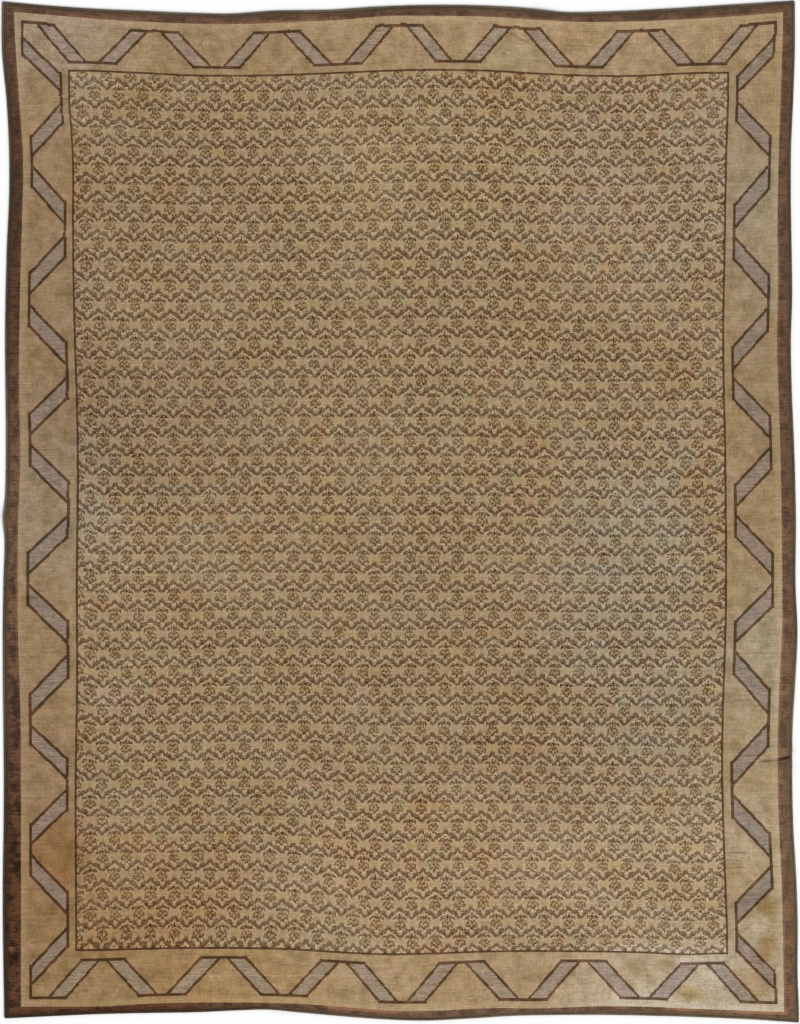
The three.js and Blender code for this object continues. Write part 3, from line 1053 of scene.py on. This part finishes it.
MARKS = [
    # The first three marks are painted shade: the dark line of the shaded pinch crease, across the guard,
    # the sand and the ribbon.
    Patch("painted shade of the pinch, on the guard", 1.688, -1.082, 0.056, 0.013, (0.24, 0.15, 0.11), 15),
    Patch("painted shade of the pinch, on the sand", 1.615, -1.094, 0.070, 0.009, (0.62, 0.52, 0.44), 6),
    Patch("painted shade of the pinch, across the ribbon", 1.535, -1.069, 0.060, 0.009, (0.74, 0.66, 0.60)),
    # Painted shade: a dark line along the slack crease, where the crease is shaded.
    Patch("slack crease", 0.525, 2.075, 0.085, 0.010, (0.74, 0.66, 0.58), -25),
    Patch("dark weft, upper", 1.470, -1.497, 0.090, 0.006, (0.68, 0.60, 0.54)),
    Patch("dark weft, lower", 1.480, -1.562, 0.080, 0.006, (0.70, 0.62, 0.56), 1),
    Patch("short dark weft", 1.440, -1.528, 0.050, 0.005, (0.78, 0.72, 0.66)),
    Patch("long scratch", 1.377, -2.000, 0.105, 0.006, (1.15, 1.18, 1.24), -67),
    Patch("scratch by the lower left", -1.244, -2.100, 0.070, 0.007, (1.16, 1.19, 1.26), 53),
    Patch("red dash", -1.380, -2.104, 0.026, 0.005, (0.74, 0.58, 0.50)),
    # A long, thin line that lightens the bottom border.
    Patch("pale line along the bottom border", -0.57, -2.036, 0.75, 0.006, (1.26, 1.29, 1.34)),
    Patch("browned ribbon, lower right", 1.525, -1.700, 0.100, 0.045, (0.82, 0.80, 0.78), 12),
    Patch("black blotch, left guard", -1.730, -1.830, 0.020, 0.034, (0.42, 0.44, 0.44)),
    Patch("rubbed spot, left guard", -1.706, -1.920, 0.022, 0.026, (1.70, 1.85, 1.95), 20),
    Patch("pale scratch, upper left", -1.615, 2.121, 0.044, 0.006, (1.14, 1.14, 1.18), -22),
    Patch("brown spot, upper left", -1.569, 2.079, 0.050, 0.026, (0.84, 0.76, 0.66), -10),
    Patch("wefts by the left ribbon", -1.626, -0.379, 0.060, 0.016, (0.76, 0.70, 0.64)),
    Patch("nick in the frame line", 1.425, -1.868, 0.010, 0.007, (0.55, 0.45, 0.38)),
    Patch("dark wefts in the left guard", -1.700, 0.695, 0.045, 0.007, (0.45, 0.36, 0.32), 2),
    Patch("more wefts, left guard", -1.700, 0.590, 0.040, 0.005, (0.55, 0.46, 0.42)),
    Patch("stain by the left guard", -1.560, 0.630, 0.140, 0.016, (0.88, 0.84, 0.72)),
    Patch("weft across the right side", 1.600, -0.620, 0.100, 0.005, (0.80, 0.74, 0.68)),
]
FADED = Patch("faded flowers, lower right", 1.15, -1.50, 0.75, 0.90, tint=None)
FADED_SHARE = 0.5              # how far the flowers there have faded
BROWN_PATCHES = [              # on the brown guard and the wrapping yarn only
    Patch("fresh brown, upper left", -1.74, 1.30, 0.60, 1.00, (0.63, 0.58, 0.54)),
    Patch("fresh brown, lower left", -1.55, -2.10, 1.25, 1.60, (0.50, 0.40, 0.32)),
    Patch("paled brown, lower right", 1.72, -1.75, 2.20, 1.90, (1.32, 1.38, 1.36)),
]
PATCH_FULL, PATCH_GONE = 0.3, 1.15         # a patch is full inside the first and gone past the second,
MARK_FULL, MARK_GONE = 0.1, 1.0            # in shares of its reach
PATCH_SHAKE, MARK_SHAKE = 0.16, 0.010      # metres
print("patches:", len(PATCHES), "marks:", len(MARKS), "patches of brown:", len(BROWN_PATCHES))

# %% Tints of the patches


def from_middle(place, spot):
    """How far a place is from the middle of a patch, in shares of the patch's reach."""
    if spot.turn:
        settings = {"vector_type": "TEXTURE"}
        sockets = {
            "Vector": place, "Location": (spot.x, spot.y, 0),
            "Rotation": (0, 0, math.radians(spot.turn)), "Scale": (spot.reach_x, spot.reach_y, 1),
        }
        inside = place.add("ShaderNodeMapping", settings, sockets)
    else:
        shift = (-spot.x / spot.reach_x, -spot.y / spot.reach_y, 0)
        sockets = {0: place, 1: (1 / spot.reach_x, 1 / spot.reach_y, 0), 2: shift}
        inside = place.add("ShaderNodeVectorMath", {"operation": "MULTIPLY_ADD"}, sockets)
    return place.add("ShaderNodeVectorMath", {"operation": "LENGTH"}, {0: inside}, output=1)


def patch_tint(place, spots, full, gone, tint=None):
    """The tint of a whole list of patches at a place."""
    for spot in spots:
        inside = from_middle(place, spot).ease(full, gone, 1, 0)
        tint = tint.tinted(spot.tint, inside) if tint else inside.pick(UNCHANGED, spot.tint)
    return tint


def brown_tint(x, y):
    """The tint of brown wool at a place in metres."""
    return patch_tint(x.point(x, y), BROWN_PATCHES, PATCH_FULL, PATCH_GONE)


def broad_tint(x, y):
    """The tint of the sand, the ribbons and the flowers at a place in metres."""
    stir = x.noise(x, y, scale=4.0, detail=3.0, roughness=0.6)
    damp = (stir.ease(0.52, 0.68) * YELLOWED).pick(UNCHANGED, YELLOW_TINT)
    off_x, off_y = stir.shifts()
    place = x.point(x + off_x * PATCH_SHAKE, y + off_y * PATCH_SHAKE)
    return patch_tint(place, PATCHES, PATCH_FULL, PATCH_GONE, damp)


def mark_tint(x, y, shake):
    """The tint of the marks at a place in metres. shake is a noise that frays them."""
    return patch_tint(x.point(x, y + (shake - 0.5) * MARK_SHAKE), MARKS, MARK_FULL, MARK_GONE)


# %% [markdown]
# Round the field, the wools are laid over each other in turn: the sand, the folded ribbon and its outline,
# the thin line, and the brown guard at the rim. The broad patches tint all but the guard, which has its
# own. Rust from the sand's rim has bled into it where it is worn, and the marks lie over everything.

# %% Wools round the field
SAND_DARK = wool(141, 115, 82)
SAND = wool(156, 131, 98)
SAND_PALE = wool(167, 144, 113)
SAND_RIM = wool(173, 148, 115)
RIBBON_WOOL = wool(150, 132, 115)
RIBBON_SHADE = wool(133, 115, 98)
OUTLINE = wool(79, 58, 38)
OUTLINE_RUST = wool(101, 73, 52)
GUARD_OUTER = wool(93, 73, 56)
GUARD_DARK = wool(89, 66, 51)
GUARD_WARM = wool(109, 83, 65)
GUARD_BLEED = wool(142, 101, 75)
END_RIBBON_TINT = (1.13, 1.11, 1.06)       # the ribbons at the ends are of a paler lot
CLOTH_TINT = 0.35              # how much of the broad patches the ribbons take
LINE_KNOTS = 2.0               # thickness of the thin line
BLEED_KNOTS = 1.9              # how far rust from the sand's rim reaches into the guard
END_BLEED_KNOTS = 1.2          # and how much further at the lower end
BLOTCHED, EVEN = 1.0, 0.12     # how blotched the guard is at its lower left corner, and away from it


def framed(field, column, row, x, y, mottle, streak, worn):
    """The field with the frame line, border, guard and marks round it, and a mask of the field."""
    cloth, outline, at_side, from_side, from_end = border(column, row)
    lower = row > KNOTS_ALONG / 2
    in_frame = (from_side - SIDE_FRAME).least(from_end - (TOP_FRAME + (BOTTOM_FRAME - TOP_FRAME) * lower))
    is_line = (in_frame < 0) * (in_frame > -LINE_KNOTS)
    in_guard = (from_side - SIDE_GUARD).least(from_end - END_GUARD)
    from_rim = (from_side - SIDE_WRAP).least(from_end - END_WRAP)

    sand = mottle.ramp([(0.30, SAND_DARK), (0.50, SAND), (0.72, SAND_PALE)], "LINEAR")
    sand = in_guard.ease(2.0, 9.0, 0.5, 0.0).pick(sand, SAND_RIM)
    ribbon_cloth = (streak * 0.6 + mottle * 0.4).ease(0.36, 0.64).pick(RIBBON_SHADE, RIBBON_WOOL)
    ribbon_cloth = ribbon_cloth.tinted(END_RIBBON_TINT, 1 - at_side)
    outline_wool = mottle.ease(0.45, 0.62).pick(OUTLINE, OUTLINE_RUST)
    base = cloth.pick(sand, ribbon_cloth)
    base = outline.pick(base, outline_wool)
    base = (in_frame > 0).pick(base, field)
    base = is_line.pick(base, outline_wool)
    base = base.tinted(broad_tint(x, y), 1 - cloth * (1 - outline) * (1 - CLOTH_TINT))

    blotch = (mottle * 0.7 + streak * 0.3).ease(0.38, 0.60)
    guard = blotch.pick(GUARD_DARK, GUARD_WARM)
    contrast = (x * 0.6 + y * 0.4).ease(-1.9, -0.5, BLOTCHED, EVEN)
    guard = guard.scaled((blotch - 0.5) * contrast + 1)
    guard = from_rim.ease(0.5, 4.5).pick(GUARD_OUTER, guard)
    at_end = (from_end - END_GUARD < from_side - SIDE_GUARD) * lower
    rusty = in_guard > at_end * -END_BLEED_KNOTS - BLEED_KNOTS
    bleed = rusty * worn.ease(0.0, 0.6) * (at_end * 0.5 + 0.4)
    guard = bleed.pick(guard, GUARD_BLEED).tinted(brown_tint(x, y))
    base = (in_guard < 0).pick(base, guard)
    return base.tinted(mark_tint(x, y, mottle)), in_frame > 0


# %% [markdown]
# The pile's material. The place is snapped to whole knots first, and only then wobbled, so the drawing
# goes astray the way a weaver's does, in steps of a knot, while the knots themselves stay in line. The
# lines of the border were counted with more care than the flowers, so they stray less. The wool's tone
# then changes from row to row, because it was spun and dyed by hand, and from knot to knot. A Bump node
# gives every knot its rounded tuft.

# %% Knotted pile
FIELD_STRAY, BORDER_STRAY = 1.3, 0.6       # knots
KNOT_SLIP = 1.3                # how far single knots of the field stray from the chart
ROW_TONE, STREAK_TONE, WARP_TONE = 0.40, 0.55, 0.35     # how much the wool's tone changes in each way
KNOT_TONE, FIELD_KNOT_TONE = 0.22, 0.16    # the change from knot to knot, and what the field adds to it
HUE_CHANGE = 0.14              # how far the hue changes with the mottling
TUFT_HEIGHT = 0.0012
PILE_SHEEN, SHEEN_TINT = 0.04, (1.0, 0.86, 0.68)


def knotted_wool(name, back=False, field_only=False):
    """The design in knotted wool, seen from the pile side or from the back."""
    material, shader, start = new_material(name)
    plan_column, plan_row = start.map_place("Knots")
    knot_column, knot_row = plan_column.floor(), plan_row.floor()
    astray_x, astray_y = start.noise(knot_column, knot_row, scale=0.09, detail=0.0).shifts()
    x, y = start.place()
    worn = start.noise(x, y, scale=1.7, detail=3.0, roughness=0.6).ease(0.35, 0.72)
    mottle = start.noise(x, y, scale=14.0, detail=4.0, roughness=0.7, seed=5.0)
    rows_tone = start.noise(knot_column * 0.02, knot_row * 0.8, detail=1.0, roughness=0.7, seed=31.0)
    streak = start.noise(knot_column * 0.10, knot_row * 1.1, detail=2.0, roughness=0.7, seed=90.0)
    warp = start.noise(knot_column * 0.9, knot_row * 0.12, detail=1.0, seed=60.0)
    each_knot = start.chance(knot_column, knot_row)

    slip = start.chance(knot_column, knot_row + 0.5)
    field_column = knot_column + astray_x * FIELD_STRAY + (slip - 0.5) * KNOT_SLIP - SIDE_FRAME
    field_row = knot_row + astray_y * FIELD_STRAY + (each_knot - 0.5) * KNOT_SLIP - TOP_FRAME
    faded = from_middle(x.point(x, y), FADED).ease(PATCH_FULL, PATCH_GONE, FADED_SHARE, 0)
    field = charted(field_column, field_row, worn + faded)
    if field_only:
        base, in_field = field.tinted(broad_tint(x, y)), 1
    else:
        column = knot_column + 0.5 + astray_x * BORDER_STRAY
        row = knot_row + 0.5 + astray_y * BORDER_STRAY
        base, in_field = framed(field, column, row, x, y, mottle, streak, worn)
    uneven_knots = (each_knot - 0.5) * (in_field * FIELD_KNOT_TONE + KNOT_TONE)
    changes = (rows_tone - 0.5) * ROW_TONE + (streak - 0.5) * STREAK_TONE + (warp - 0.5) * WARP_TONE
    base = base.scaled(changes + uneven_knots + 1).tinted(mottle.out("Color"), HUE_CHANGE, "SOFT_LIGHT")
    base.feed(shader, "Base Color")

    across_knot, along_knot = plan_column.part() - 0.5, plan_row.part() - 0.5
    tuft = 1 - (across_knot * across_knot + along_knot * along_knot) * 2
    sockets = {"Height": tuft * 0.45 + each_knot * 0.45, "Strength": 0.35, "Distance": TUFT_HEIGHT}
    bump = start.add("ShaderNodeBump", None, sockets)
    bump.feed(shader, "Normal")
    (0.93 - worn * 0.06).feed(shader, "Roughness")
    shader.inputs["Specular IOR Level"].default_value = 0.1
    shader.inputs["Sheen Weight"].default_value = 0.0 if back else PILE_SHEEN
    shader.inputs["Sheen Roughness"].default_value = 0.5
    shader.inputs["Sheen Tint"].default_value = (*SHEEN_TINT, 1)
    print(name, "nodes:", len(start.tree.nodes))
    return material


body_mesh.materials.append(knotted_wool("knotted_pile"))
body_mesh.materials.append(knotted_wool("knotted_back", back=True))
body_mesh.materials.append(knotted_wool("knotted_field", field_only=True))
body_mesh.polygons.foreach_set("material_index", face_material)

# %% [markdown]
# The wrapping yarn is dark wool, spun from undyed brown and grey fleece. It has greyed where feet
# and brooms rub it, and single turns are a shade lighter or darker than the next.

# %% Wrapping yarn
YARN_DARK, YARN_GREY = wool(86, 75, 61), wool(107, 94, 77)


def wrapping_yarn(name):
    """Dark wool yarn with two plies, on the wrapped edges."""
    material, shader, start = new_material(name)
    turn, around = start.map_place("Turns")
    x, y = start.place()
    each_turn = start.add("ShaderNodeTexWhiteNoise", {"noise_dimensions": "1D"}, {"W": turn.floor()})
    stretch = start.noise(turn * 0.012, 0.0, detail=3.0)
    colour = stretch.ease(0.4, 0.62).pick(YARN_DARK, YARN_GREY).tinted(brown_tint(x, y))
    colour.scaled((each_turn - 0.5) * 0.3 + 1).feed(shader, "Base Color")
    plies = abs((turn * 2 + around * 6).part() - 0.5)
    fuzz = start.noise(turn * 6, around * 30, detail=2.0)
    bump = start.add("ShaderNodeBump", None, {"Height": plies + fuzz, "Strength": 0.5, "Distance": 0.0006})
    bump.feed(shader, "Normal")
    shader.inputs["Roughness"].default_value = 0.92
    shader.inputs["Specular IOR Level"].default_value = 0.25
    return material


yarn = wrapping_yarn("wrapping_yarn")
for piece in wrapped.values():
    piece.data.materials.append(yarn)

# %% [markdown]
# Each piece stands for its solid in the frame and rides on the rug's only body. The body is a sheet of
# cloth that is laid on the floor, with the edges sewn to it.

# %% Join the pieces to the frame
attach(body, "root")
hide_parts("rug_body")
for side, (node, along) in EDGE_NODES.items():
    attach(wrapped[side], "root")
    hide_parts(node)
